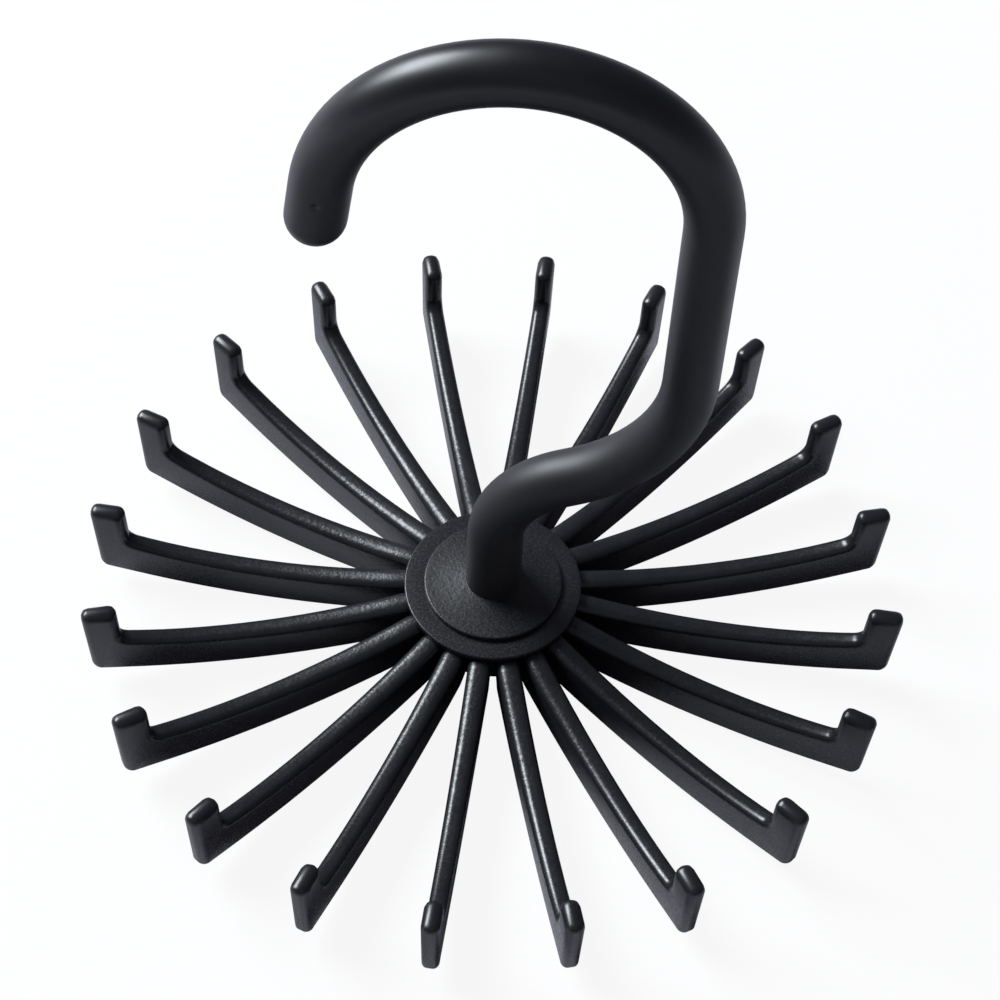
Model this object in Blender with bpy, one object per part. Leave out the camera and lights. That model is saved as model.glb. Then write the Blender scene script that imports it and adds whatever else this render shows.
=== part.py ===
"""Rotating tie rack: a rod hook that carries a freely turning star of tie arms.

Metres, +Z up. The origin is on the hub's axis, at the underside of the bottom cap.
The hook lies in the XZ plane, and its leg rises on the +X side.
"""
import math

import bmesh
import bpy
from mathutils import Matrix, Vector

# Star as a whole
ARM_COUNT = 20
STAR_RADIUS = 0.0700
STAR_TURN = math.radians(-3.5)

# Clearance between pieces that touch or run on each other
SEAT_GAP = 0.0003

# Bottom cap that closes the hub from below
CAP_DIAMETER = 0.0222
CAP_THICKNESS = 0.0010
CAP_EDGE = 0.0003
PLUG_WALL = 0.0008
PLUG_HEIGHT = 0.0025

# Screw and washers that hold the star on the spindle
HEAD_CLEARANCE = 0.0005
HEAD_DIAMETER = 0.0060
HEAD_HEIGHT = 0.0018
HEAD_CROWN = 0.0006
RECESS_SPAN = 0.0032
RECESS_BLADE = 0.0009
RECESS_DEPTH = 0.0009
SHANK_DIAMETER = 0.0028
SHANK_LENGTH = 0.0080
SHANK_POINT = 0.0010
WASHER_DIAMETER = 0.0120
WASHER_THICKNESS = 0.0008
THRUST_DIAMETER = 0.0130
THRUST_THICKNESS = 0.0008

# Hub barrel with its slotted wall
HUB_FLOOR = 0.0014
BOSS_WALL = 0.0017
SLOTTED_WALL = 0.0028
SKIRT_WALL = 0.0031
SLOT_SILL = 0.0010
HUB_EDGE = 0.0003

# Cover disc over the arm roots
COVER_DIAMETER = 0.0305
COVER_THICKNESS = 0.0011
COVER_EDGE = 0.0004
COLLAR_POCKET = 0.0005
SPIGOT_WALL = 0.0007
SPIGOT_LENGTH = 0.0022

# Hook: collar, spindle and the bent rod
SPINDLE_DIAMETER = 0.0072
SPINDLE_CHAMFER = 0.0004
PILOT_DEPTH = 0.0075
COLLAR_DIAMETER = 0.0237
COLLAR_THICKNESS = 0.0012
COLLAR_EDGE = 0.00035
STEM_FILLET = 0.0008
STEM_DIAMETER = 0.0094
LEG_DIAMETER = 0.0088
NOSE_DIAMETER = 0.0093
STEM_LENGTH = 0.0136
LOW_BEND_RADIUS = 0.0188
HIGH_BEND_RADIUS = 0.0295
LEG_LENGTH = 0.0347
ARCH_RADIUS = 0.02805
ARCH_SHIFT = 0.00055
ARCH_SWEEP = math.radians(172.5)
TAIL_LENGTH = 0.0068

# Tie arm: blade with an upturned prong
ARM_THICKNESS = 0.0032
ARM_ROOT_THICKNESS = 0.0040
ARM_NECK_THICKNESS = 0.0031
ARM_EDGE = 0.0010
ARM_UNDER_EDGE = 0.0008
ARM_SAG = 0.0026
ARM_UNDER_SAG = 0.00225
ARM_ELBOW_DROP = 0.0002
ARM_UPTURN = 0.0003
ARM_DRAFT_SHARE = 0.15
ARM_ROOT_HEIGHT = 0.0080
ARM_TIP_HEIGHT = 0.0084
PRONG_HEIGHT = 0.0080
PRONG_THICKNESS = 0.00585
PRONG_INNER_LEAN = 0.0003
PRONG_OUTER_LEAN = 0.00065
HEEL_RISE = 0.0010
ELBOW_FILLET = 0.0022
PRONG_FILLET = 0.0012
HEEL_FILLET = 0.0018
LEAST_FILLET = 0.0001
UPTURN_POWER = 8

# Arm root: tongue that lies in a hub slot and drops behind the wall
TONGUE_WIDTH = 0.0014
TONGUE_HEIGHT = 0.0022
TONGUE_RELIEF = 0.0007
TONGUE_BURIED = 0.0015
HEEL_BLOCK = 0.0017

# Overrun of every cutter past the face that it opens
CUT_OVERRUN = 0.0010

# Fineness of round shapes
TURN_STEPS = 40
SCREW_STEPS = 20
ROD_STEPS = 24
BEND_STEPS = 6
ARCH_STEPS = 18
NOSE_STEPS = 4
FILLET_STEPS = 3
CURVE_STEPS = 6
EDGE_LAYERS = 2
SMOOTH_ANGLE = math.radians(35)

# Heights of the stack on the axis, from the ground up
HUB_BOTTOM = CAP_THICKNESS + SEAT_GAP
HEAD_BOTTOM = CAP_THICKNESS + HEAD_CLEARANCE
HEAD_TOP = HEAD_BOTTOM + HEAD_HEIGHT
WASHER_BOTTOM = HEAD_TOP + SEAT_GAP
WASHER_TOP = WASHER_BOTTOM + WASHER_THICKNESS
SPINDLE_END = WASHER_TOP + SEAT_GAP
THRUST_TOP = SPINDLE_END + THRUST_THICKNESS
FLOOR_BOTTOM = THRUST_TOP + SEAT_GAP
FLOOR_TOP = FLOOR_BOTTOM + HUB_FLOOR
SLOT_FLOOR = FLOOR_TOP + SLOT_SILL
TONGUE_BOTTOM = SLOT_FLOOR + SEAT_GAP
TONGUE_TOP = TONGUE_BOTTOM + TONGUE_HEIGHT
HUB_TOP = TONGUE_TOP + TONGUE_RELIEF
COVER_BOTTOM = HUB_TOP + SEAT_GAP
COVER_TOP = COVER_BOTTOM + COVER_THICKNESS
POCKET_FLOOR = COVER_TOP - COLLAR_POCKET
COLLAR_BOTTOM = POCKET_FLOOR + SEAT_GAP
COLLAR_TOP = COLLAR_BOTTOM + COLLAR_THICKNESS

# Radii outwards from the axis
SHANK_RADIUS = SHANK_DIAMETER / 2
PILOT_RADIUS = SHANK_RADIUS + SEAT_GAP
SPINDLE_RADIUS = SPINDLE_DIAMETER / 2
BORE_RADIUS = SPINDLE_RADIUS + SEAT_GAP
BOSS_RADIUS = BORE_RADIUS + BOSS_WALL
SPIGOT_INNER = BOSS_RADIUS + SEAT_GAP
SPIGOT_OUTER = SPIGOT_INNER + SPIGOT_WALL
HEEL_INNER = SPIGOT_OUTER + SEAT_GAP
HEEL_OUTER = HEEL_INNER + HEEL_BLOCK
TROUGH_RADIUS = HEEL_OUTER + SEAT_GAP
HUB_RADIUS = TROUGH_RADIUS + SLOTTED_WALL
SHOULDER_RADIUS = HUB_RADIUS + SEAT_GAP
CAVITY_RADIUS = HUB_RADIUS - SKIRT_WALL
PLUG_OUTER = CAVITY_RADIUS - SEAT_GAP
PLUG_INNER = PLUG_OUTER - PLUG_WALL
COLLAR_RADIUS = COLLAR_DIAMETER / 2
POCKET_RADIUS = COLLAR_RADIUS + SEAT_GAP
COVER_RADIUS = COVER_DIAMETER / 2


def clear_scene():
    for item in list(bpy.data.objects):
        bpy.data.objects.remove(item, do_unlink=True)


def plastic(name, colour, roughness):
    return finish(name, colour, roughness, 0)


def finish(name, colour, roughness, metallic):
    material = bpy.data.materials.new(name)
    material.use_nodes = True
    shader = material.node_tree.nodes["Principled BSDF"]
    shader.inputs["Base Color"].default_value = colour
    shader.inputs["Roughness"].default_value = roughness
    shader.inputs["Metallic"].default_value = metallic
    return material


def satin_black():
    return plastic("satin_black_plastic", (0.016, 0.016, 0.018, 1), 0.38)


def grained_black():
    return plastic("grained_black_plastic", (0.020, 0.021, 0.023, 1), 0.50)


def natural_nylon():
    return plastic("natural_nylon", (0.75, 0.73, 0.66, 1), 0.45)


def zinc_steel():
    return finish("zinc_plated_steel", (0.62, 0.63, 0.64, 1), 0.30, 1)


def arc(centre, radius, start, end, steps):
    """Points of an arc about centre, from the start angle to the end angle."""
    angles = [start + (end - start) * step / steps for step in range(steps + 1)]
    return [(centre[0] + radius * math.cos(a), centre[1] + radius * math.sin(a)) for a in angles]


def place(name, mesh, material):
    """One object for a finished mesh, shaded smooth between its sharp edges."""
    mesh.shade_smooth()
    mesh.set_sharp_from_angle(angle=SMOOTH_ANGLE)
    if not mesh.materials:
        mesh.materials.append(material)
    item = bpy.data.objects.new(name, mesh)
    bpy.context.collection.objects.link(item)
    return item


def to_mesh(name, shape):
    bmesh.ops.recalc_face_normals(shape, faces=shape.faces)
    mesh = bpy.data.meshes.new(name)
    shape.to_mesh(mesh)
    shape.free()
    return mesh


def turned_mesh(name, outline, closed, steps=TURN_STEPS):
    """Revolve an outline of (radius, height) points about the hub axis."""
    shape = bmesh.new()
    corners = [shape.verts.new((radius, 0, height)) for radius, height in outline]
    pairs = list(zip(corners, corners[1:]))
    if closed:
        pairs.append((corners[-1], corners[0]))
    edges = [shape.edges.new(pair) for pair in pairs]
    bmesh.ops.spin(shape, geom=corners + edges, axis=(0, 0, 1), cent=(0, 0, 0),
                   steps=steps, angle=math.tau, use_merge=True)
    bmesh.ops.remove_doubles(shape, verts=shape.verts, dist=LEAST_FILLET / TURN_STEPS)
    return to_mesh(name, shape)


def combined(name, body, tool, operation):
    """The body's mesh after a Boolean with the tool; both helper objects are removed."""
    modifier = body.modifiers.new(operation.lower(), "BOOLEAN")
    modifier.operation = operation
    modifier.object = tool
    modifier.solver = "EXACT"
    graph = bpy.context.evaluated_depsgraph_get()
    mesh = bpy.data.meshes.new_from_object(body.evaluated_get(graph))
    mesh.name = name
    bpy.data.objects.remove(body, do_unlink=True)
    bpy.data.objects.remove(tool, do_unlink=True)
    return mesh


def add_box(shape, low, high):
    """A box between two corners, added to a growing mesh."""
    size = Vector(high) - Vector(low)
    middle = (Vector(high) + Vector(low)) / 2
    matrix = Matrix.Translation(middle) @ Matrix.Diagonal(size.to_4d())
    return bmesh.ops.create_cube(shape, size=1, matrix=matrix)["verts"]


def build_bottom_cap(material):
    """Snap-in cap: a flat disc with a plug ring that grips the hub's cavity."""
    rim = CAP_DIAMETER / 2
    outline = [(0, 0)]
    outline += arc((rim - CAP_EDGE, CAP_EDGE), CAP_EDGE, -math.pi / 2, 0, FILLET_STEPS)
    outline += [(rim, CAP_THICKNESS), (PLUG_OUTER, CAP_THICKNESS)]
    outline += [(PLUG_OUTER, CAP_THICKNESS + PLUG_HEIGHT), (PLUG_INNER, CAP_THICKNESS + PLUG_HEIGHT)]
    outline += [(PLUG_INNER, CAP_THICKNESS), (0, CAP_THICKNESS)]
    return place("bottom_cap", turned_mesh("bottom_cap", outline, False), material)


def build_retaining_screw(material):
    """Pan-head screw with a cross recess, driven up into the spindle."""
    head = HEAD_DIAMETER / 2
    crown = HEAD_BOTTOM + HEAD_CROWN
    outline = [(0, HEAD_BOTTOM)]
    outline += [(head - HEAD_CROWN * (1 - math.sin(a)), crown - HEAD_CROWN * math.cos(a))
                for a in [math.pi / 2 * step / FILLET_STEPS for step in range(FILLET_STEPS + 1)]]
    outline += [(head, HEAD_TOP), (SHANK_RADIUS, HEAD_TOP)]
    outline += [(SHANK_RADIUS, HEAD_TOP + SHANK_LENGTH - SHANK_POINT), (0, HEAD_TOP + SHANK_LENGTH)]
    blank = place("screw_blank", turned_mesh("screw_blank", outline, False, SCREW_STEPS), material)
    cutter = bmesh.new()
    long_half = RECESS_SPAN / 2
    short_half = RECESS_BLADE / 2
    bottom = HEAD_BOTTOM - CUT_OVERRUN
    top = HEAD_BOTTOM + RECESS_DEPTH
    add_box(cutter, (-long_half, -short_half, bottom), (long_half, short_half, top))
    blade = place("recess_blade", to_mesh("recess_blade", cutter), material)
    first = place("screw_cut", combined("screw_cut", blank, blade, "DIFFERENCE"), material)
    cutter = bmesh.new()
    add_box(cutter, (-short_half, -long_half, bottom), (short_half, long_half, top))
    blade = place("recess_blade", to_mesh("recess_blade", cutter), material)
    return place("retaining_screw", combined("retaining_screw", first, blade, "DIFFERENCE"), material)


def ring_outline(inner, outer, bottom, top):
    return [(inner, bottom), (outer, bottom), (outer, top), (inner, top)]


def build_retaining_washer(material):
    """Steel washer between the screw head and the spindle's end."""
    outline = ring_outline(PILOT_RADIUS, WASHER_DIAMETER / 2, WASHER_BOTTOM, WASHER_TOP)
    return place("retaining_washer", turned_mesh("retaining_washer", outline, True), material)


def build_thrust_washer(material):
    """Nylon washer that the hub floor turns on, round the spindle."""
    outline = ring_outline(BORE_RADIUS, THRUST_DIAMETER / 2, SPINDLE_END, THRUST_TOP)
    return place("thrust_washer", turned_mesh("thrust_washer", outline, True), material)


def build_hub(material):
    """Barrel with a bored boss, a trough for the arm roots and a slotted outer wall."""
    outline = [(BORE_RADIUS, FLOOR_BOTTOM), (CAVITY_RADIUS, FLOOR_BOTTOM), (CAVITY_RADIUS, HUB_BOTTOM)]
    outline += arc((HUB_RADIUS - HUB_EDGE, HUB_BOTTOM + HUB_EDGE), HUB_EDGE, -math.pi / 2, 0, FILLET_STEPS)
    outline += [(HUB_RADIUS, HUB_TOP), (TROUGH_RADIUS, HUB_TOP), (TROUGH_RADIUS, FLOOR_TOP)]
    outline += [(BOSS_RADIUS, FLOOR_TOP), (BOSS_RADIUS, HUB_TOP), (BORE_RADIUS, HUB_TOP)]
    barrel = place("barrel", turned_mesh("barrel", outline, True), material)
    cutter = bmesh.new()
    half = TONGUE_WIDTH / 2 + SEAT_GAP
    inner = (HEEL_INNER + HEEL_OUTER) / 2
    for number in range(ARM_COUNT):
        turn = Matrix.Rotation(STAR_TURN + math.tau * number / ARM_COUNT, 4, "Z")
        slot = add_box(cutter, (inner, -half, SLOT_FLOOR), (HUB_RADIUS + CUT_OVERRUN, half, HUB_TOP + CUT_OVERRUN))
        bmesh.ops.transform(cutter, matrix=turn, verts=slot)
    slots = place("slots", to_mesh("slots", cutter), material)
    return place("hub", combined("hub", barrel, slots, "DIFFERENCE"), material)


def build_cover_disc(material):
    """Disc that clamps the arm roots, with a spigot round the boss and a pocket for the collar."""
    spigot_end = COVER_BOTTOM - SPIGOT_LENGTH
    outline = [(BORE_RADIUS, COVER_BOTTOM), (SPIGOT_INNER, COVER_BOTTOM), (SPIGOT_INNER, spigot_end)]
    outline += [(SPIGOT_OUTER, spigot_end), (SPIGOT_OUTER, COVER_BOTTOM), (COVER_RADIUS, COVER_BOTTOM)]
    outline += arc((COVER_RADIUS - COVER_EDGE, COVER_TOP - COVER_EDGE), COVER_EDGE, 0, math.pi / 2, FILLET_STEPS)
    outline += [(POCKET_RADIUS, COVER_TOP), (POCKET_RADIUS, POCKET_FLOOR), (BORE_RADIUS, POCKET_FLOOR)]
    return place("cover_disc", turned_mesh("cover_disc", outline, True), material)


def rod_stations():
    """Centre, heading from vertical and radius at each station of the rod above its stem fillet."""
    stem_radius = STEM_DIAMETER / 2
    leg_radius = LEG_DIAMETER / 2
    nose_radius = NOSE_DIAMETER / 2
    leg_offset = ARCH_RADIUS + ARCH_SHIFT
    bend = math.acos(1 - leg_offset / (LOW_BEND_RADIUS + HIGH_BEND_RADIUS))
    height = COLLAR_TOP + STEM_FILLET
    stations = [(0, height, 0, stem_radius)]
    height += STEM_LENGTH
    for step in range(BEND_STEPS + 1):
        heading = bend * step / BEND_STEPS
        x = LOW_BEND_RADIUS * (1 - math.cos(heading))
        z = height + LOW_BEND_RADIUS * math.sin(heading)
        stations.append((x, z, heading, stem_radius))
    height += (LOW_BEND_RADIUS + HIGH_BEND_RADIUS) * math.sin(bend)
    for step in range(1, BEND_STEPS + 1):
        heading = bend * (BEND_STEPS - step) / BEND_STEPS
        share = step / BEND_STEPS
        x = leg_offset - HIGH_BEND_RADIUS * (1 - math.cos(heading))
        z = height - HIGH_BEND_RADIUS * math.sin(heading)
        stations.append((x, z, heading, stem_radius + (leg_radius - stem_radius) * share))
    height += LEG_LENGTH
    for step in range(ARCH_STEPS + 1):
        heading = -ARCH_SWEEP * step / ARCH_STEPS
        share = step / ARCH_STEPS
        x = ARCH_SHIFT + ARCH_RADIUS * math.cos(heading)
        z = height - ARCH_RADIUS * math.sin(heading)
        stations.append((x, z, heading, leg_radius + (nose_radius - leg_radius) * share))
    x += TAIL_LENGTH * math.sin(heading)
    z += TAIL_LENGTH * math.cos(heading)
    for step in range(NOSE_STEPS):
        lift = math.pi / 2 * step / NOSE_STEPS
        reach = nose_radius * math.sin(lift)
        stations.append((x + reach * math.sin(heading), z + reach * math.cos(heading), heading,
                         nose_radius * math.cos(lift)))
    return stations, (x + nose_radius * math.sin(heading), z + nose_radius * math.cos(heading))


def hook_stations():
    """Stations of the whole hook: up the pilot hole's wall, spindle, collar, then the rod."""
    stem_radius = STEM_DIAMETER / 2
    profile = [(PILOT_RADIUS, SPINDLE_END + PILOT_DEPTH), (PILOT_RADIUS, SPINDLE_END)]
    profile += [(SPINDLE_RADIUS - SPINDLE_CHAMFER, SPINDLE_END), (SPINDLE_RADIUS, SPINDLE_END + SPINDLE_CHAMFER)]
    profile += [(SPINDLE_RADIUS, COLLAR_BOTTOM), (COLLAR_RADIUS, COLLAR_BOTTOM)]
    profile += arc((COLLAR_RADIUS - COLLAR_EDGE, COLLAR_TOP - COLLAR_EDGE), COLLAR_EDGE, 0, math.pi / 2,
                   FILLET_STEPS)
    profile += arc((stem_radius + STEM_FILLET, COLLAR_TOP + STEM_FILLET), STEM_FILLET, -math.pi / 2, -math.pi,
                   FILLET_STEPS)[:-1]
    turned = [(0, height, 0, radius) for radius, height in profile]
    rod, nose = rod_stations()
    return turned + rod, nose


def build_hook(material):
    """One moulding: collar, spindle and round rod, lofted through its stations."""
    stations, nose = hook_stations()
    shape = bmesh.new()
    rings = []
    for x, z, heading, radius in stations:
        across = Vector((math.cos(heading), 0, -math.sin(heading)))
        centre = Vector((x, 0, z))
        ring = []
        for step in range(ROD_STEPS):
            angle = math.tau * step / ROD_STEPS
            offset = across * math.cos(angle) + Vector((0, math.sin(angle), 0))
            ring.append(shape.verts.new(centre + offset * radius))
        rings.append(ring)
    for low, high in zip(rings, rings[1:]):
        for step in range(ROD_STEPS):
            following = (step + 1) % ROD_STEPS
            shape.faces.new((low[step], low[following], high[following], high[step]))
    shape.faces.new(rings[0][::-1])
    tip = shape.verts.new((nose[0], 0, nose[1]))
    for step in range(ROD_STEPS):
        shape.faces.new((rings[-1][step], rings[-1][(step + 1) % ROD_STEPS], tip))
    return place("hook", to_mesh("hook", shape), material)


def bow(share, sag):
    """Drop of a line that sags between its ends, at a share of its length."""
    return sag * (1 - (2 * share - 1) ** 2)


def crest_height(share):
    """Height of the blade's crest at a share of its length: it sags, then turns up at the elbow."""
    return HUB_TOP - ARM_ELBOW_DROP * share - bow(share, ARM_SAG) + ARM_UPTURN * share ** UPTURN_POWER


def draft(height):
    """Share of the full thickness at a height: the blade thins towards its underside."""
    return 1 - ARM_DRAFT_SHARE * max(HUB_TOP - height, 0) / ARM_ROOT_HEIGHT


def blade_thickness(radius):
    """Thickness of the blade: widest where it leaves the cover disc, narrower at the hub and the tip."""
    start = COVER_RADIUS + SEAT_GAP
    elbow = STAR_RADIUS - PRONG_THICKNESS - PRONG_INNER_LEAN
    if radius < start:
        share = max(radius - SHOULDER_RADIUS, 0) / (start - SHOULDER_RADIUS)
        return ARM_NECK_THICKNESS + (ARM_ROOT_THICKNESS - ARM_NECK_THICKNESS) * share
    share = min((radius - start) / (elbow - start), 1)
    return ARM_ROOT_THICKNESS + (ARM_THICKNESS - ARM_ROOT_THICKNESS) * share


def widening(point):
    """Share of the tip's thickness that the blade has at a point of its side view."""
    return blade_thickness(point.x) / ARM_THICKNESS * draft(point.y)


def arm_corners():
    """Corners of the blade's side view as (radius, height, fillet, edge rounding after it)."""
    root = SHOULDER_RADIUS
    start = COVER_RADIUS + SEAT_GAP
    elbow = STAR_RADIUS - PRONG_THICKNESS - PRONG_INNER_LEAN
    elbow_height = crest_height(1)
    prong_top = elbow_height + PRONG_HEIGHT
    corners = [(root, HUB_TOP, 0, ARM_EDGE)]
    for step in range(CURVE_STEPS):
        share = step / CURVE_STEPS
        corners.append((start + (elbow - start) * share, crest_height(share), 0, ARM_EDGE))
    corners.append((elbow, elbow_height, ELBOW_FILLET, ARM_EDGE))
    corners.append((STAR_RADIUS - PRONG_THICKNESS, prong_top, PRONG_FILLET, ARM_EDGE))
    corners.append((STAR_RADIUS, prong_top, PRONG_FILLET, ARM_EDGE))
    heel = elbow_height - ARM_TIP_HEIGHT
    corners.append((STAR_RADIUS - PRONG_OUTER_LEAN, heel + HEEL_RISE, HEEL_FILLET, ARM_UNDER_EDGE))
    root_bottom = HUB_TOP - ARM_ROOT_HEIGHT
    for step in range(CURVE_STEPS, 0, -1):
        share = step / CURVE_STEPS
        height = root_bottom + (heel - root_bottom) * share - bow(share, ARM_UNDER_SAG)
        corners.append((root + (elbow - root) * share, height, 0, ARM_UNDER_EDGE))
    corners.append((root, root_bottom, 0, 0))
    return corners


def inset_outline(corners, share):
    """The outline with each edge moved in by a share of its rounding, and its fillets to match."""
    count = len(corners)
    points = [Vector(corner[:2]) for corner in corners]
    moved = []
    for index in range(count):
        before = (points[index] - points[index - 1]).normalized()
        after = (points[(index + 1) % count] - points[index]).normalized()
        inward_before = Vector((before.y, -before.x))
        inward_after = Vector((after.y, -after.x))
        shift_before = corners[index - 1][3] * share
        shift_after = corners[index][3] * share
        cross = before.x * after.y - before.y * after.x
        if abs(shift_before - shift_after) < LEAST_FILLET:
            middle = inward_before + inward_after
            moved.append(points[index] + middle * (2 * shift_after / middle.length_squared))
        else:
            slide = (shift_after - shift_before * inward_before.dot(inward_after)) / inward_after.dot(before)
            moved.append(points[index] + inward_before * shift_before + before * slide)
        fillet = corners[index][2]
        if fillet:
            grown = fillet + max(shift_before, shift_after) * (1 if cross > 0 else -1)
            moved[-1] = (moved[-1], max(grown, LEAST_FILLET))
        else:
            moved[-1] = (moved[-1], 0)
    outline = []
    for index in range(count):
        corner, fillet = moved[index]
        if not fillet:
            outline.append(corner)
            continue
        to_before = (moved[index - 1][0] - corner)
        to_after = (moved[(index + 1) % count][0] - corner)
        angle = to_before.angle(to_after)
        reach = min(fillet / math.tan(angle / 2), to_before.length / 2, to_after.length / 2)
        radius = reach * math.tan(angle / 2)
        bisector = (to_before.normalized() + to_after.normalized()).normalized()
        centre = corner + bisector * (radius / math.sin(angle / 2))
        first = corner + to_before.normalized() * reach - centre
        last = corner + to_after.normalized() * reach - centre
        sweep = first.angle_signed(last)
        for step in range(FILLET_STEPS + 1):
            turn = -sweep * step / FILLET_STEPS
            outline.append(centre + Vector((first.x * math.cos(turn) - first.y * math.sin(turn),
                                            first.x * math.sin(turn) + first.y * math.cos(turn))))
    return outline


def arm_blade_mesh():
    """Blade of the arm, with its long edges rounded layer by layer."""
    corners = arm_corners()
    layers = []
    for layer in range(EDGE_LAYERS + 1):
        angle = math.pi / 2 * layer / EDGE_LAYERS
        side = ARM_THICKNESS / 2 - ARM_EDGE + ARM_EDGE * math.sin(angle)
        layers.append((side, inset_outline(corners, 1 - math.cos(angle))))
    sections = [(-side, outline) for side, outline in reversed(layers)] + layers
    shape = bmesh.new()
    rings = []
    for side, outline in sections:
        rings.append([shape.verts.new((point.x, side * widening(point), point.y)) for point in outline])
    for low, high in zip(rings, rings[1:]):
        for index in range(len(low)):
            following = (index + 1) % len(low)
            shape.faces.new((low[index], low[following], high[following], high[index]))
    shape.faces.new(rings[0])
    shape.faces.new(rings[-1][::-1])
    return to_mesh("blade", shape)


def arm_tongue_mesh():
    """Tongue of the arm root, with the heel that drops behind the hub's wall."""
    buried = SHOULDER_RADIUS + TONGUE_BURIED
    outline = [(HEEL_INNER, FLOOR_TOP + SEAT_GAP), (HEEL_OUTER, FLOOR_TOP + SEAT_GAP)]
    outline += [(HEEL_OUTER, TONGUE_BOTTOM), (buried, TONGUE_BOTTOM), (buried, TONGUE_TOP)]
    outline += [(HEEL_INNER, TONGUE_TOP)]
    shape = bmesh.new()
    half = TONGUE_WIDTH / 2
    side = shape.faces.new([shape.verts.new((radius, -half, height)) for radius, height in outline])
    grown = bmesh.ops.extrude_face_region(shape, geom=[side])
    far = [item for item in grown["geom"] if isinstance(item, bmesh.types.BMVert)]
    bmesh.ops.translate(shape, verts=far, vec=(0, TONGUE_WIDTH, 0))
    return to_mesh("tongue", shape)


def build_arms(material):
    """The tie arms, alike and evenly spaced round the hub."""
    blade = place("blade", arm_blade_mesh(), material)
    tongue = place("tongue", arm_tongue_mesh(), material)
    mesh = combined("arm", blade, tongue, "UNION")
    for number in range(ARM_COUNT):
        arm = place(f"arm_{number + 1:02d}", mesh, material)
        arm.rotation_euler.z = STAR_TURN + math.tau * number / ARM_COUNT


def main():
    clear_scene()
    hook_black = satin_black()
    star_black = grained_black()
    steel = zinc_steel()
    build_hook(hook_black)
    build_cover_disc(star_black)
    build_hub(star_black)
    build_arms(star_black)
    build_thrust_washer(natural_nylon())
    build_retaining_washer(steel)
    build_retaining_screw(steel)
    build_bottom_cap(star_black)


main()
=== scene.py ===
"""Rotating tie rack, dressed: fine pieces, finishes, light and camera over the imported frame."""

import math

import bmesh
import bpy
from mathutils import Matrix, Vector


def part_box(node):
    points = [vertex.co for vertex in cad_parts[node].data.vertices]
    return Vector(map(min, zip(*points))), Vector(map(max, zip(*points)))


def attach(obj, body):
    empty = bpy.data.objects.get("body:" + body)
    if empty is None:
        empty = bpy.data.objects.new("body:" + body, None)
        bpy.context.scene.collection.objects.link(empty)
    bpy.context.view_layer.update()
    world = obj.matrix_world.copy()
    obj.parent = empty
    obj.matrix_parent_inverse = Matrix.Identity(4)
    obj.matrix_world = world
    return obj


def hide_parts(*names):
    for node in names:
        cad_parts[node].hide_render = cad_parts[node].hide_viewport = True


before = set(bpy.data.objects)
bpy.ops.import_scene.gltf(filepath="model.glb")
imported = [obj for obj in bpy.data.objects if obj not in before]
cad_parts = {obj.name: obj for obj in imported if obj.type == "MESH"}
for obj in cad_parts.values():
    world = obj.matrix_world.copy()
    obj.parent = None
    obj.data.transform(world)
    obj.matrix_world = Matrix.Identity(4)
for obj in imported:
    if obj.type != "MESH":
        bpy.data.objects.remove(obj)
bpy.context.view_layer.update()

bl_info = {
    "name": "Rotating tie rack",
    "version": (1, 0, 0),
    "blender": (4, 5, 0),
    "location": "View3D > Sidebar > Tie rack",
    "description": "Models the pieces of a rotating tie rack and dresses its packed frame",
    "category": "Add Mesh",
}

COVER_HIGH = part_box("cover_disc")[1]
HUB_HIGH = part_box("hub")[1]
HOOK_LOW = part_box("hook")[0]

# How close two places are that count as one, or a vertex to its section, in metres
TOUCHING = 1e-6
NEAR = 1e-5
SECTION_REACH = 5e-5
# How far off a place is that counts as another one, in metres
CLEAR = 1e-4
# Share of a direction along an axis that counts as along it, or as across it
MOSTLY = 0.9
HARDLY = 0.1
SMOOTH_ANGLE = math.radians(30)

# The collar's shallow cone climbs by this power of the way to the rod
CONE_POWER = 1.3
# The crest turns up at the elbow by this power of its length
UPTURN_POWER = 8
# How far outside the cover disc's rim the free crest starts, and how far inside that the neck ends
RIM_CLEARANCE = 0.0003
NECK_STEP = 0.0009

# Sizes of the marks in the finishes, in metres across
SATIN_CLOUD, SATIN_SKIN = 0.006, 0.00035
MOULD_CLOUD = 0.0035
COARSE_GRAIN, FINE_GRAIN, SHEEN_GRAIN = 0.0009, 0.0005, 0.0004
NYLON_CLOUD, NYLON_SKIN = 0.002, 0.0003
STEEL_CLOUD, STEEL_SKIN = 0.0008, 0.0002
FLOOR_CLOUD = 0.05
# Heights of the relief in the finishes, in metres
SATIN_RELIEF = 0.000012
DISC_RELIEF = 0.000035
COVER_RELIEF = 0.000008
ARM_RELIEF = 0.00004
TIP_RELIEF = 0.00001
NYLON_RELIEF = 0.00001
STEEL_RELIEF = 0.000008
NYLON_DEPTHS = (0.001, 0.001, 0.0008)

# Ranges over which the finishes change, in metres
BEND_HEIGHTS = (0.055, 0.075)
TIP_HEIGHTS = (HUB_HIGH.z + 0.0005, HUB_HIGH.z + 0.0055)
ROOT_RADII = (0.02, 0.05)
CALM_RADII = (0.03, 0.055)
# How much of the arms' grain is left beyond the calm radii
CALM_SHARE = 0.1
# Parts of a noise's range over which the mottling and the grain's sheen change
MOTTLE = (0.3, 0.7)
ARM_SHEEN = (0.42, 0.72)
DISC_SHEEN = (0.45, 0.75)
# First input, second input and output that a mix node has for each kind of value
MIX_SOCKETS = {"FLOAT": (2, 3, 0), "VECTOR": (4, 5, 1), "RGBA": (6, 7, 2)}

INNER_FINISHES = {
    "hub": "grained_black",
    "bottom_cap": "grained_black",
    "thrust_washer": "natural_nylon",
    "retaining_washer": "zinc_steel",
    "retaining_screw": "zinc_steel",
}

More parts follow.
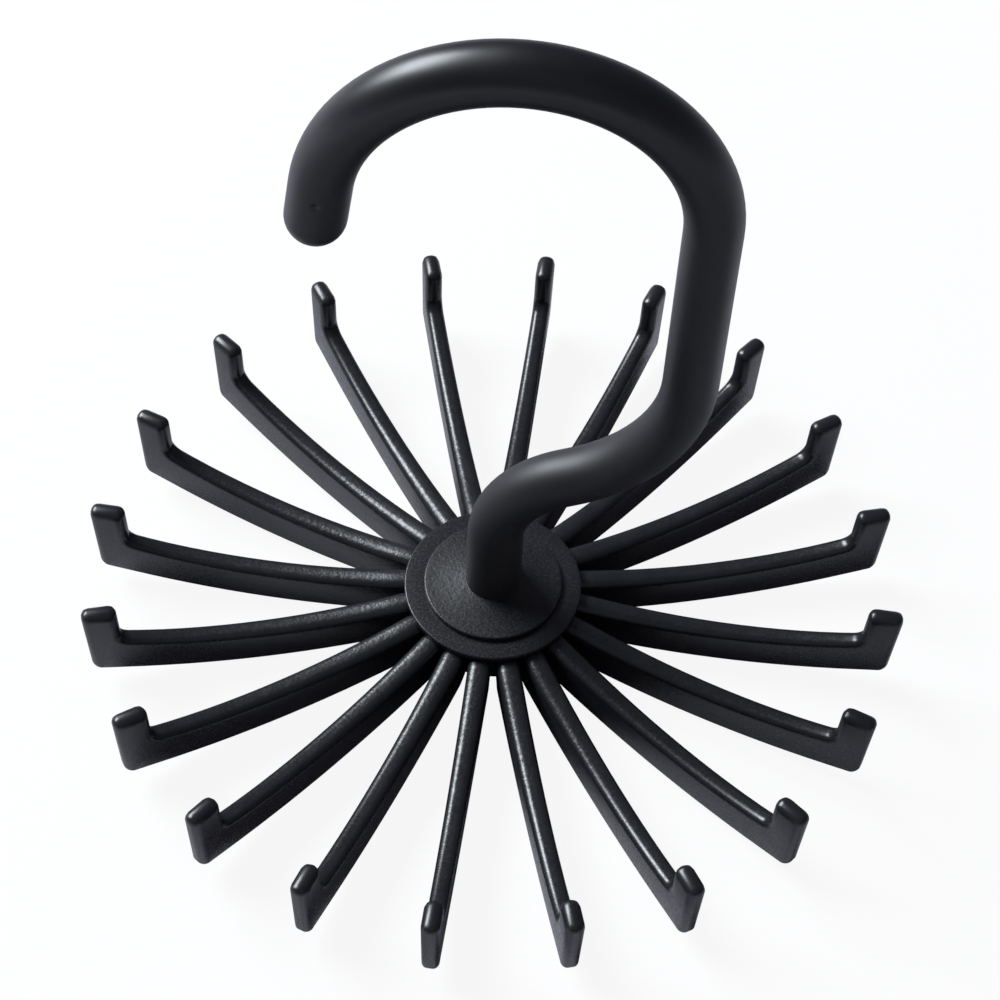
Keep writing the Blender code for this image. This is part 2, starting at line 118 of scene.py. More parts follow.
# The photograph's camera as fitted; its pixels are counted from the middle of the first one
PICTURE = 1000
PIXEL_MIDDLE = 0.5
LENS_PIXEL = (512.574, 523.643)
ORIGIN_PIXEL = (491.797, 593.044)
FOCAL_PIXELS = 2540.188
SENSOR_WIDTH = 36
CLIP_START = 0.01
CAMERA_TILT = math.radians(54.944)
CAMERA_ROLL = math.radians(3.634)
CAMERA_TURN = math.radians(1.46)
CAMERA_DEPTH = 0.440068
ORIGIN_HEIGHT = 0.0096

# Name, place, width, height and power of each lamp
LAMPS = (
    ("key", (-1.066, 0.567, 1.074), 0.92, 0.60, 46.0),
    ("fill", (0.20, -0.80, 0.70), 0.8, 0.8, 0.2),
)
LAMP_AIM = Vector((0, 0, 0.03))
# Shares of the reach at which the painted shade on the floor in reflections changes: the near floor's stop,
# and where the middle floor's darker shade starts and ends
NEAR_STOP, MIDDLE_STOP, FAR_STOP = 0.12, 0.3, 0.7
# Places on Y between which the floor counts as behind the rack, where its painted shade in reflections is
# even
BEHIND = (-0.03, 0.02)
# Distances between which the floor turns fully white for the camera
WHITE = (0.15, 0.6)


def length(name, default, description):
    """A length that the user can change, in metres."""
    return bpy.props.FloatProperty(name=name, description=description, default=default, unit="LENGTH",
                                   precision=5)


def turn(name, default, description):
    """An angle that the user can change."""
    return bpy.props.FloatProperty(name=name, description=description, default=math.radians(default),
                                   unit="ROTATION")


def count(name, default, description):
    return bpy.props.IntProperty(name=name, description=description, default=default, min=1)


def tone(name, default, description):
    return bpy.props.FloatVectorProperty(name=name, description=description, default=default,
                                         subtype="COLOR", min=0, max=1)


def share(name, default, description):
    return bpy.props.FloatProperty(name=name, description=description, default=default, min=0, max=1,
                                   subtype="FACTOR")


class TieRackHook(bpy.types.PropertyGroup):
    """Sizes of the hook: spindle, collar and bent rod."""
    pilot_radius: length("Pilot hole radius", 0.0017, "Hole in the spindle for the screw")
    pilot_depth: length("Pilot hole depth", 0.0075, "Depth of that hole")
    spindle_radius: length("Spindle radius", 0.0036, "Spindle that the star turns on")
    spindle_chamfer: length("Spindle chamfer", 0.0004, "Chamfer at the spindle's end")
    collar_radius: length("Collar radius", 0.01185, "Raised round collar at the foot of the rod")
    collar_bottom: length("Collar underside", 0.0126, "Height of the collar's underside")
    collar_top: length("Collar top", 0.0138, "Height of the collar's top at its rim")
    collar_edge: length("Collar edge", 0.00028, "Rounding of the collar's rim")
    collar_rise: length("Collar rise", 0.0009, "How far the collar's top climbs towards the rod")
    stem_fillet: length("Stem fillet", 0.00006, "Fillet where the rod grows out of the collar")
    stem_radius: length("Stem radius", 0.0047, "Rod radius at its foot")
    leg_radius: length("Leg radius", 0.0044, "Rod radius along the straight leg")
    nose_radius: length("Nose radius", 0.00465, "Rod radius at the rounded end")
    stem_length: length("Stem length", 0.0144, "Straight rod above the collar")
    low_bend: length("Low bend radius", 0.0188, "First bend, outwards")
    high_bend: length("High bend radius", 0.0295, "Second bend, back to upright")
    leg_length: length("Leg length", 0.03462, "Straight leg below the arch")
    arch_radius: length("Arch radius", 0.02805, "Centre line of the arch over the closet rod")
    arch_shift: length("Arch shift", 0.00055, "Sideways place of the arch's centre")
    arch_sweep: turn("Arch sweep", 172.5, "Angle that the arch goes through")
    tail_length: length("Tail length", 0.0068, "Straight end before the rounded nose")
    mark_height: length("Gate mark height", 0.1103, "Height of the moulding's small round mark on the nose")
    mark_radius: length("Gate mark radius", 0.0010, "Radius of that mark")
    mark_depth: length("Gate mark depth", 0.0003, "Depth of that mark")
    corner_steps: count("Steps round a corner", 6, "Fineness of the collar's rim and of the stem's fillet")
    cone_steps: count("Steps up the collar", 8, "Fineness of the collar's shallow cone")
    round_steps: count("Steps round the rod", 64, "Fineness of the round rod")
    bend_steps: count("Steps along a bend", 14, "Fineness of each bend")
    arch_steps: count("Steps along the arch", 48, "Fineness of the arch")
    nose_steps: count("Steps round the nose", 12, "Fineness of the rounded nose")


class TieRackCover(bpy.types.PropertyGroup):
    """Sizes of the cover disc."""
    radius: length("Cover radius", COVER_HIGH.x, "Outer radius of the cover disc")
    top: length("Cover top", COVER_HIGH.z, "Height of the flat top")
    thickness: length("Cover thickness", 0.0011, "Thickness of the plate")
    edge: length("Cover edge", 0.00028, "Rounding of the upper rim")
    lower_edge: length("Cover lower edge", 0.00015, "Rounding of the lower rim")
    bore: length("Bore radius", 0.0039, "Hole for the spindle")
    pocket_radius: length("Pocket radius", 0.01189, "Shallow pocket that the hook's collar sits in")
    pocket_depth: length("Pocket depth", 0.0005, "Depth of the pocket")
    spigot_inner: length("Spigot inner radius", 0.0059, "Ring below the plate, inside")
    spigot_outer: length("Spigot outer radius", 0.0066, "Ring below the plate, outside")
    spigot_length: length("Spigot length", 0.0022, "Depth of that ring")
    lower_steps: count("Steps round the lower rim", 3, "Fineness of the lower rim's rounding")
    upper_steps: count("Steps round the upper rim", 6, "Fineness of the upper rim's rounding")
    round_steps: count("Steps round the disc", 160, "Fineness of the disc")


class TieRackArms(bpy.types.PropertyGroup):
    """Sizes of the tie arms."""
    number: count("Arms", 20, "Number of arms round the hub")
    star_turn: turn("Star turn", -3.5, "Angle of the first arm at rest")
    root: length("Root radius", 0.0120, "Where the blade starts at the hub's wall")
    tip: length("Tip radius", 0.0700, "Outer face of the prong at its top")
    thickness: length("Blade thickness", 0.0032, "Thickness at the tip")
    neck_thickness: length("Neck thickness", 0.0031, "Thickness at the hub's wall")
    root_thickness: length("Root thickness", 0.0040, "Thickness where the blade leaves the cover disc")
    rounding: length("Prong rounding", 0.00145, "Rounding of the prong's edges")
    crest_rounding: length("Crest rounding", 0.00115, "Rounding of the blade's upper long edges")
    root_reach: length("Root reach", 0.048, "Radius up to which the crest is rounder, as at the hub")
    under_rounding: length("Under rounding", 0.0008, "Rounding of the lower long edges")
    sag: length("Crest sag", 0.0026, "How far the crest sags between its ends")
    under_sag: length("Underside sag", 0.00235, "How far the underside sags")
    elbow_drop: length("Elbow drop", 0.0002, "How far the crest's line ends below the hub's top")
    upturn: length("Upturn", 0.0003, "How far the crest turns up towards the elbow")
    draft: share("Draft", 0.10, "How much thinner the blade is at its underside")
    root_height: length("Root height", 0.0081, "Height of the blade at the hub")
    tip_height: length("Tip height", 0.0085, "Height of the blade at the elbow")
    prong_height: length("Prong height", 0.0080, "Height of the prong over the elbow")
    prong_thickness: length("Prong thickness", 0.00585, "Radial thickness of the prong at its top")
    inner_lean: length("Inner lean", 0.0003, "Lean of the prong's inner face")
    outer_lean: length("Outer lean", 0.00065, "Lean of the prong's outer face")
    heel_rise: length("Heel rise", 0.0010, "Rise of the underside at the heel")
    elbow_fillet: length("Elbow fillet", 0.0016, "Fillet between crest and prong")
    heel_fillet: length("Heel fillet", 0.0015, "Rounding of the lower outer corner")
    corner_share: share("Prong corner share", 0.85, "Rounding of the prong's top ends, against its sides")
    stations: count("Stations", 14, "Sections along the blade")
    elbow_steps: count("Steps round the elbow", 8, "Fineness of the elbow's fillet")
    heel_steps: count("Steps round the heel", 10, "Fineness of the heel's rounding")
    edge_steps: count("Steps round the edges", 8, "Fineness of the long edges' rounding")
    bend_17: length("Warp of arm 17", 0.0008, "How far the tip of arm 17 stands aside")
    bend_18: length("Warp of arm 18", -0.0004, "How far the tip of arm 18 stands aside")
    bend_19: length("Warp of arm 19", -0.0002, "How far the tip of arm 19 stands aside")
    turn_14: turn("Turn of arm 14", 0.35, "How far arm 14 stands off its even place")
    turn_17: turn("Turn of arm 17", 0.15, "How far arm 17 stands off its even place")


class TieRackFinish(bpy.types.PropertyGroup):
    """Colours and roughness of the finishes."""
    hook_colour: tone("Hook colour", (0.0034, 0.0034, 0.0052), "Smooth satin black plastic")
    hook_roughness: share("Hook roughness", 0.40, "Roughness of the smooth plastic")
    bend_roughness: share("Low bend roughness", 0.13, "How much duller the hook is at its lower bend")
    disc_colour: tone("Disc colour", (0.0066, 0.0066, 0.0090), "Spark-grained black plastic")
    disc_roughness: share("Disc roughness", 0.40, "Roughness of the collar, hub and cap")
    cover_roughness: share("Cover roughness", 0.35, "Roughness of the cover disc's finer grain")
    arm_colour: tone("Arm colour", (0.0108, 0.0109, 0.0132), "Finely grained black plastic")
    arm_roughness: share("Arm roughness", 0.30, "Roughness of the arms")
    root_roughness: share("Arm root roughness", 0.04, "How much duller the arms are beside the hub")
    tip_roughness: share("Tip roughness", 0.32, "Roughness of the prongs' polished tops")
    nylon_colour: tone("Nylon colour", (0.72, 0.69, 0.60), "Natural nylon")
    steel_colour: tone("Steel colour", (0.62, 0.63, 0.64), "Zinc-plated steel")


class TieRackStage(bpy.types.PropertyGroup):
    """Floor, lamps and room light."""
    floor_half: length("Floor half width", 3, "Half the floor's width")
    floor_colour: tone("Floor colour", (0.78, 0.76, 0.82), "Pale floor")
    # Reach, near and middle floor set the painted shade that darkens the floor in reflections with the
    # ray's length
    reach: length("Reach", 0.4, "Distance from which reflections show the floor at its full paleness")
    near_share: share("Near floor", 0.70, "How pale the floor close by looks in reflections")
    middle_share: share("Middle floor", 0.36, "How pale the floor before the hook looks in reflections")
    shadow_share: share("Shadow share", 0.09, "How much of the floor's own shading the camera sees")
    lamp_colour: tone("Lamp colour", (0.90, 0.96, 1.0), "Cool daylight of the lamps")
    room_colour: tone("Room colour", (0.80, 0.82, 1.0), "Dim bluish light from the room")
    room_strength: bpy.props.FloatProperty(name="Room light", description="Even light from all round",
                                           default=0.15, min=0)


FINISHES = {}


def start_piece():
    """Object mode with nothing selected."""
    if bpy.context.mode != "OBJECT":
        bpy.ops.object.mode_set(mode="OBJECT")
    bpy.ops.object.select_all(action="DESELECT")


def take(item):
    """Selects one piece alone and makes it the active one."""
    start_piece()
    item.select_set(True)
    bpy.context.view_layer.objects.active = item


def name_piece(name):
    """Names the new primitive and puts its place in its mesh."""
    item = bpy.context.object
    item.name = name
    item.data.name = name
    bpy.ops.object.transform_apply(location=True, rotation=True, scale=True)
    return item


def pick(part, test):
    """Selects only the vertices, edges or faces of the open mesh that pass a test."""
    bpy.ops.mesh.select_mode(type=part)
    bpy.ops.mesh.select_all(action="DESELECT")
    mesh = bpy.context.object.data
    shape = bmesh.from_edit_mesh(mesh)
    parts = {"VERT": shape.verts, "EDGE": shape.edges, "FACE": shape.faces}[part]
    found = [item for item in parts if test(item)]
    if not found:
        raise RuntimeError(f"{bpy.context.object.name}: nothing was found to select")
    for item in found:
        item.select_set(True)
    shape.select_flush_mode()
    bmesh.update_edit_mesh(mesh)


def middle(edge):
    return (edge.verts[0].co + edge.verts[1].co) / 2


def along(edge):
    return (edge.verts[1].co - edge.verts[0].co).normalized()


def dress(item, finish, body, nodes):
    """Gives a finished piece its finish, its body and the CAD nodes that it stands for."""
    item.data.materials.clear()
    item.data.materials.append(FINISHES[finish])
    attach(item, body)
    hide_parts(*nodes)


def draw_rings(name, stations, steps):
    """Extrudes a ring through stations of (x, height, heading from upright, radius)."""
    start_piece()
    x, height, heading, radius = stations[0]
    bpy.ops.mesh.primitive_circle_add(vertices=steps, radius=radius, location=(x, 0, height))
    item = name_piece(name)
    bpy.ops.object.mode_set(mode="EDIT")
    bpy.ops.mesh.select_mode(type="EDGE")
    bpy.ops.mesh.select_all(action="SELECT")
    for after in stations[1:]:
        step = (after[0] - x, 0, after[1] - height)
        bpy.ops.mesh.extrude_edges_move(TRANSFORM_OT_translate={"value": step})
        centre = (after[0], 0, after[1])
        if after[2] != heading:
            bpy.ops.transform.rotate(value=heading - after[2], orient_axis="Y", orient_type="GLOBAL",
                                     center_override=centre)
        if after[3] != radius:
            factor = after[3] / radius
            bpy.ops.transform.resize(value=(factor, factor, factor), center_override=centre)
        x, height, heading, radius = after
    return item


def round_corner(centre, radius, start, end, steps):
    """Points of a rounded corner about its centre."""
    angles = [start + (end - start) * step / steps for step in range(steps + 1)]
    return [(centre[0] + radius * math.cos(a), centre[1] + radius * math.sin(a)) for a in angles]


def hook_stations(size):
    """Stations up the pilot hole's wall, the spindle, the collar and the bent rod."""
    end = HOOK_LOW.z
    rim = size.collar_radius - size.collar_edge
    foot = size.stem_radius + size.stem_fillet
    cone_top = size.collar_top + size.collar_rise
    profile = [(size.pilot_radius, end + size.pilot_depth), (size.pilot_radius, end),
               (size.spindle_radius - size.spindle_chamfer, end),
               (size.spindle_radius, end + size.spindle_chamfer),
               (size.spindle_radius, size.collar_bottom), (size.collar_radius, size.collar_bottom)]
    profile += round_corner((rim, size.collar_top - size.collar_edge), size.collar_edge,
                            0, math.pi / 2, size.corner_steps)
    for step in range(1, size.cone_steps):
        way = step / size.cone_steps
        profile.append((rim + (foot - rim) * way, size.collar_top + size.collar_rise * way ** CONE_POWER))
    profile += round_corner((foot, cone_top + size.stem_fillet), size.stem_fillet,
                            -math.pi / 2, -math.pi, size.corner_steps)
    stations = [(0, height, 0, radius) for radius, height in profile]
    offset = size.arch_radius + size.arch_shift
    bend = math.acos(1 - offset / (size.low_bend + size.high_bend))
    height = size.collar_top + size.stem_length
    for step in range(size.bend_steps + 1):
        heading = bend * step / size.bend_steps
        stations.append((size.low_bend * (1 - math.cos(heading)),
                         height + size.low_bend * math.sin(heading), heading, size.stem_radius))
    height += (size.low_bend + size.high_bend) * math.sin(bend)
    for step in range(1, size.bend_steps + 1):
        heading = bend * (size.bend_steps - step) / size.bend_steps
        radius = size.stem_radius + (size.leg_radius - size.stem_radius) * step / size.bend_steps
        stations.append((offset - size.high_bend * (1 - math.cos(heading)),
                         height - size.high_bend * math.sin(heading), heading, radius))
    height += size.leg_length
    for step in range(size.arch_steps + 1):
        heading = -size.arch_sweep * step / size.arch_steps
        radius = size.leg_radius + (size.nose_radius - size.leg_radius) * step / size.arch_steps
        stations.append((size.arch_shift + size.arch_radius * math.cos(heading),
                         height - size.arch_radius * math.sin(heading), heading, radius))
    x, height, heading, radius = stations[-1]
    x += size.tail_length * math.sin(heading)
    height += size.tail_length * math.cos(heading)
    for step in range(size.nose_steps):
        lift = math.pi / 2 * step / size.nose_steps
        reach = radius * math.sin(lift)
        stations.append((x + reach * math.sin(heading), height + reach * math.cos(heading), heading,
                         radius * math.cos(lift)))
    nose = Vector((x + radius * math.sin(heading), 0, height + radius * math.cos(heading)))
    return stations, nose


class TIERACK_OT_hook(bpy.types.Operator):
    """Model the hook as one moulding: spindle, collar and bent round rod"""
    bl_idname = "tierack.hook"
    bl_label = "Hook"

    def execute(self, context):
        size = context.scene.tie_rack_hook
        stations, nose = hook_stations(size)
        item = draw_rings("hook_rod", stations, size.round_steps)
        last = Vector((stations[-1][0], 0, stations[-1][1]))
        bpy.ops.mesh.extrude_edges_move(TRANSFORM_OT_translate={"value": nose - last})
        bpy.ops.mesh.merge(type="CENTER")
        blind = stations[0][1]
        pick("EDGE", lambda edge: edge.is_boundary and abs(middle(edge).z - blind) < TOUCHING)
        bpy.ops.mesh.edge_face_add()
        bpy.ops.mesh.select_all(action="SELECT")
        bpy.ops.mesh.normals_make_consistent(inside=False)
        take(item)
        bpy.ops.object.shade_smooth_by_angle(angle=SMOOTH_ANGLE)
        dress(item, "satin_black", "hook_body", ["hook"])
        item.data.materials.append(FINISHES["grained_black"])
        take(item)
        bpy.ops.object.mode_set(mode="EDIT")
        bottom = size.collar_bottom - NEAR
        top = size.collar_top + size.collar_rise + NEAR
        reach = size.stem_radius + size.stem_fillet / 2
        pick("FACE", lambda face: bottom < face.calc_center_median().z < top
             and face.calc_center_median().xy.length > reach)
        item.active_material_index = 1
        bpy.ops.object.material_slot_assign()
        bpy.ops.object.mode_set(mode="OBJECT")
        return {"FINISHED"}


def turned_piece(name, profile, steps):
    """Turns a closed outline of (radius, height) about the hub's axis."""
    stations = [(0, height, 0, radius) for radius, height in profile + profile[:1]]
    item = draw_rings(name, stations, steps)
    bpy.ops.mesh.select_all(action="SELECT")
    bpy.ops.mesh.remove_doubles(threshold=TOUCHING)
    bpy.ops.mesh.normals_make_consistent(inside=False)
    take(item)
    bpy.ops.object.shade_smooth_by_angle(angle=SMOOTH_ANGLE)
    return item


class TIERACK_OT_cover(bpy.types.Operator):
    """Turn the cover disc with its pocket, spigot and rounded rims"""
    bl_idname = "tierack.cover"
    bl_label = "Cover disc"

    def execute(self, context):
        size = context.scene.tie_rack_cover
        under = size.top - size.thickness
        floor = size.top - size.pocket_depth
        low, edge = size.lower_edge, size.edge
        foot = under - size.spigot_length
        profile = [(size.bore, under), (size.spigot_inner, under), (size.spigot_inner, foot),
                   (size.spigot_outer, foot), (size.spigot_outer, under)]
        profile += round_corner((size.radius - low, under + low), low, -math.pi / 2, 0, size.lower_steps)
        profile += round_corner((size.radius - edge, size.top - edge), edge,
                                0, math.pi / 2, size.upper_steps)
        profile += [(size.pocket_radius, size.top), (size.pocket_radius, floor), (size.bore, floor)]
        item = turned_piece("cover_plate", profile, size.round_steps)
        dress(item, "cover_black", "star_body", ["cover_disc"])
        return {"FINISHED"}


def bow(place, sag):
    """Drop of a line that sags between its ends, at a share of its length."""
    return sag * (1 - (2 * place - 1) ** 2)


def crest_height(size, place):
    """Height of the crest at a share of its length: it sags, then turns up at the elbow."""
    risen = size.upturn * place ** UPTURN_POWER
    return HUB_HIGH.z - size.elbow_drop * place - bow(place, size.sag) + risen


def free_ends(size):
    """Radii at which the blade's free crest starts, outside the cover disc, and ends at the elbow."""
    return COVER_HIGH.x + RIM_CLEARANCE, size.tip - size.prong_thickness - size.inner_lean


def arm_section(size, radius):
    """Heights of the crest and the underside, and the thickness, at a radius."""
    start, elbow = free_ends(size)
    along_crest = max(radius - start, 0) / (elbow - start)
    crest = crest_height(size, along_crest)
    along_under = (radius - size.root) / (elbow - size.root)
    root_bottom = HUB_HIGH.z - size.root_height
    heel = crest_height(size, 1) - size.tip_height
    under = root_bottom + (heel - root_bottom) * along_under - bow(along_under, size.under_sag)
    if radius < start:
        grown = (radius - size.root) / (start - size.root)
        thickness = size.neck_thickness + (size.root_thickness - size.neck_thickness) * grown
    else:
        thickness = size.root_thickness + (size.thickness - size.root_thickness) * along_crest
    return crest, under, thickness


def arm_radii(size):
    """Radii of the sections along the blade, from its root to the elbow."""
    start, elbow = free_ends(size)
    free = [start + (elbow - start) * step / size.stations for step in range(size.stations + 1)]
    return [size.root, start - NECK_STEP] + free


def draw_blade(size):
    """Extrudes the plain blade and its prong, square at every edge."""
    start_piece()
    radii = arm_radii(size)
    elbow = radii[-1]
    crest, under, _ = arm_section(size, radii[0])
    bpy.ops.mesh.primitive_plane_add(size=1, location=(radii[0], 0, (crest + under) / 2),
                                     rotation=(0, math.pi / 2, 0))
    bpy.context.object.scale = (crest - under, size.thickness, 1)
    item = name_piece("tie_arm_01")
    bpy.ops.object.mode_set(mode="EDIT")
    bpy.ops.mesh.select_mode(type="FACE")
    bpy.ops.mesh.select_all(action="SELECT")
    heel = size.tip - size.outer_lean
    for before, after in zip(radii, radii[1:] + [heel]):
        last = (crest + under) / 2, crest - under
        if after < heel:
            crest, under, _ = arm_section(size, after)
        else:
            under += size.heel_rise
        shift = (after - before, 0, (crest + under) / 2 - last[0])
        bpy.ops.mesh.extrude_region_move(TRANSFORM_OT_translate={"value": shift})
        bpy.ops.transform.resize(value=(1, 1, (crest - under) / last[1]),
                                 center_override=(after, 0, (crest + under) / 2))
    outer = size.outer_lean * (crest - under) / (crest + size.prong_height - under)
    pick("VERT", lambda vert: vert.co.x > heel - NEAR and vert.co.z > crest - NEAR)
    bpy.ops.transform.translate(value=(outer, 0, 0))
    pick("FACE", lambda face: face.normal.z > MOSTLY and face.calc_center_median().x > elbow + CLEAR)
    bpy.ops.mesh.extrude_region_move(TRANSFORM_OT_translate={"value": (0, 0, size.prong_height)})
    top = crest + size.prong_height
    pick("VERT", lambda vert: vert.co.z > top - NEAR and vert.co.x < elbow + CLEAR)
    bpy.ops.transform.translate(value=(size.inner_lean, 0, 0))
    pick("VERT", lambda vert: vert.co.z > top - NEAR and vert.co.x > heel)
    bpy.ops.transform.translate(value=(size.outer_lean - outer, 0, 0))
    return item, elbow, crest, heel, under


def round_blade(item, size, elbow, crest, heel, under):
    """Fillets the elbow and the heel, then rounds the long edges."""
    def across(edge):
        return abs(along(edge).y) > MOSTLY

    def spare(edge):
        """Edges that only divide the flat sides and the outer face at the prong's foot."""
        at = middle(edge)
        if across(edge):
            return at.x > heel + NEAR and abs(at.z - crest) < NEAR
        if abs(along(edge).x) > MOSTLY:
            return at.x > elbow + CLEAR and abs(at.z - crest) < NEAR
        return abs(at.x - elbow) < NEAR and at.z < crest

    pick("EDGE", spare)
    bpy.ops.mesh.dissolve_edges(use_verts=True)
    for x, height, radius, steps in ((elbow, crest, size.elbow_fillet, size.elbow_steps),
                                     (heel, under, size.heel_fillet, size.heel_steps)):
        corner = Vector((x, 0, height))
        pick("EDGE", lambda edge: across(edge) and (middle(edge) - corner).length < NEAR)
        bpy.ops.mesh.bevel(offset=radius, segments=steps, affect="EDGES", clamp_overlap=False)
    top = crest + size.prong_height
    lower = size.under_rounding / size.rounding
    blade = size.crest_rounding / size.rounding

    def level(edge):
        """Share of the full rounding on a long edge, nought for any other."""
        at = middle(edge)
        if across(edge):
            return size.corner_share if at.z > top - NEAR else 0
        if at.x < size.root + TOUCHING:
            return 0
        normals = [face.normal for face in edge.link_faces]
        rims = [normal for normal in normals if abs(normal.y) < HARDLY]
        if not rims or not any(abs(normal.y) > MOSTLY for normal in normals):
            return 0
        if rims[0].z > -HARDLY or at.x > heel + NEAR:
            risen = min(max((at.x - elbow) / size.elbow_fillet + 1, 0), 1)
            rooted = min(max((size.root_reach - at.x) / (size.root_reach - COVER_HIGH.x), 0), 1)
            return blade + (1 - blade) * max(risen, rooted)
        if at.x < heel - size.heel_fillet:
            return lower
        return lower + (1 - lower) * min(max((at.z - under) / size.heel_fillet, 0), 1)

    bpy.ops.mesh.select_all(action="SELECT")
    bpy.ops.mesh.normals_make_consistent(inside=False)
    bpy.ops.object.mode_set(mode="OBJECT")
    shape = bmesh.new()
    shape.from_mesh(item.data)
    weights = shape.edges.layers.float.new("bevel_weight_edge")
    for edge in shape.edges:
        edge[weights] = level(edge)
    shape.to_mesh(item.data)
    shape.free()
    modifier = item.modifiers.new("rounding", "BEVEL")
    modifier.limit_method = "WEIGHT"
    modifier.offset_type = "OFFSET"
    modifier.width = size.rounding
    modifier.segments = size.edge_steps
    modifier.use_clamp_overlap = False
    bpy.ops.object.modifier_apply(modifier=modifier.name)


def taper_blade(size):
    """Thickens the blade towards the cover disc and thins it at the hub, section by section."""
    bpy.ops.object.mode_set(mode="EDIT")
    for radius in arm_radii(size)[:-1]:
        factor = arm_section(size, radius)[2] / size.thickness
        pick("VERT", lambda vert: abs(vert.co.x - radius) < SECTION_REACH)
        bpy.ops.transform.resize(value=(1, factor, 1), center_override=(radius, 0, 0))
    bpy.ops.mesh.select_all(action="SELECT")
    bpy.ops.mesh.normals_make_consistent(inside=False)
    bpy.ops.object.mode_set(mode="OBJECT")


def thin_blade(item, size):
    """Narrows the blade towards its underside, as its mould's draft does."""
    slope = size.draft / size.root_height
    base = 1 - slope * HUB_HIGH.z
    bpy.ops.object.mode_set(mode="EDIT")
    bpy.ops.mesh.select_all(action="SELECT")
    bpy.ops.transform.resize(value=(1, base, 1), center_override=(0, 0, 0))
    bpy.ops.object.mode_set(mode="OBJECT")
    heights = [vert.co.z for vert in item.data.vertices]
    depth = HUB_HIGH.z - min(heights)
    modifier = item.modifiers.new("draft", "SIMPLE_DEFORM")
    modifier.deform_method = "TAPER"
    modifier.deform_axis = "Z"
    modifier.lock_x = True
    modifier.limits = (0, depth / (max(heights) - min(heights)))
    modifier.factor = slope / base * depth
    bpy.ops.object.modifier_apply(modifier=modifier.name)


class TIERACK_OT_arms(bpy.types.Operator):
    """Model one tie arm and copy it round the hub"""
    bl_idname = "tierack.arms"
    bl_label = "Tie arms"

    def execute(self, context):
        size = context.scene.tie_rack_arms
        item, elbow, crest, heel, under = draw_blade(size)
        round_blade(item, size, elbow, crest, heel, under)
        taper_blade(size)
        thin_blade(item, size)
        bpy.ops.object.shade_smooth_by_angle(angle=SMOOTH_ANGLE)
        arms = [item]
        for number in range(1, size.number):
            take(item)
            bpy.ops.object.duplicate(linked=False)
            copy = context.object
            copy.name = f"tie_arm_{number + 1:02d}"
            copy.data.name = copy.name
            arms.append(copy)
        for number, aside in ((17, size.bend_17), (18, size.bend_18), (19, size.bend_19)):
            self.bend(arms[number - 1], aside, size)
        off_place = {14: size.turn_14, 17: size.turn_17}
        for number, arm in enumerate(arms):
            take(arm)
            angle = size.star_turn + math.tau * number / size.number
            arm.rotation_euler.z = angle + off_place.get(number + 1, 0)
            bpy.ops.object.transform_apply(location=False, rotation=True, scale=False)
            dress(arm, "arm_black", "star_body", [f"arm_{number + 1:02d}"])
        return {"FINISHED"}

    def bend(self, arm, aside, size):
        """Bends an arm a little sideways, as moulded arms warp when they cool."""
        take(arm)
        modifier = arm.modifiers.new("warp", "SIMPLE_DEFORM")
        modifier.deform_method = "BEND"
        modifier.deform_axis = "Z"
        modifier.angle = 2 * aside * (size.tip - size.root) / size.tip ** 2
        bpy.ops.object.modifier_apply(modifier=modifier.name)


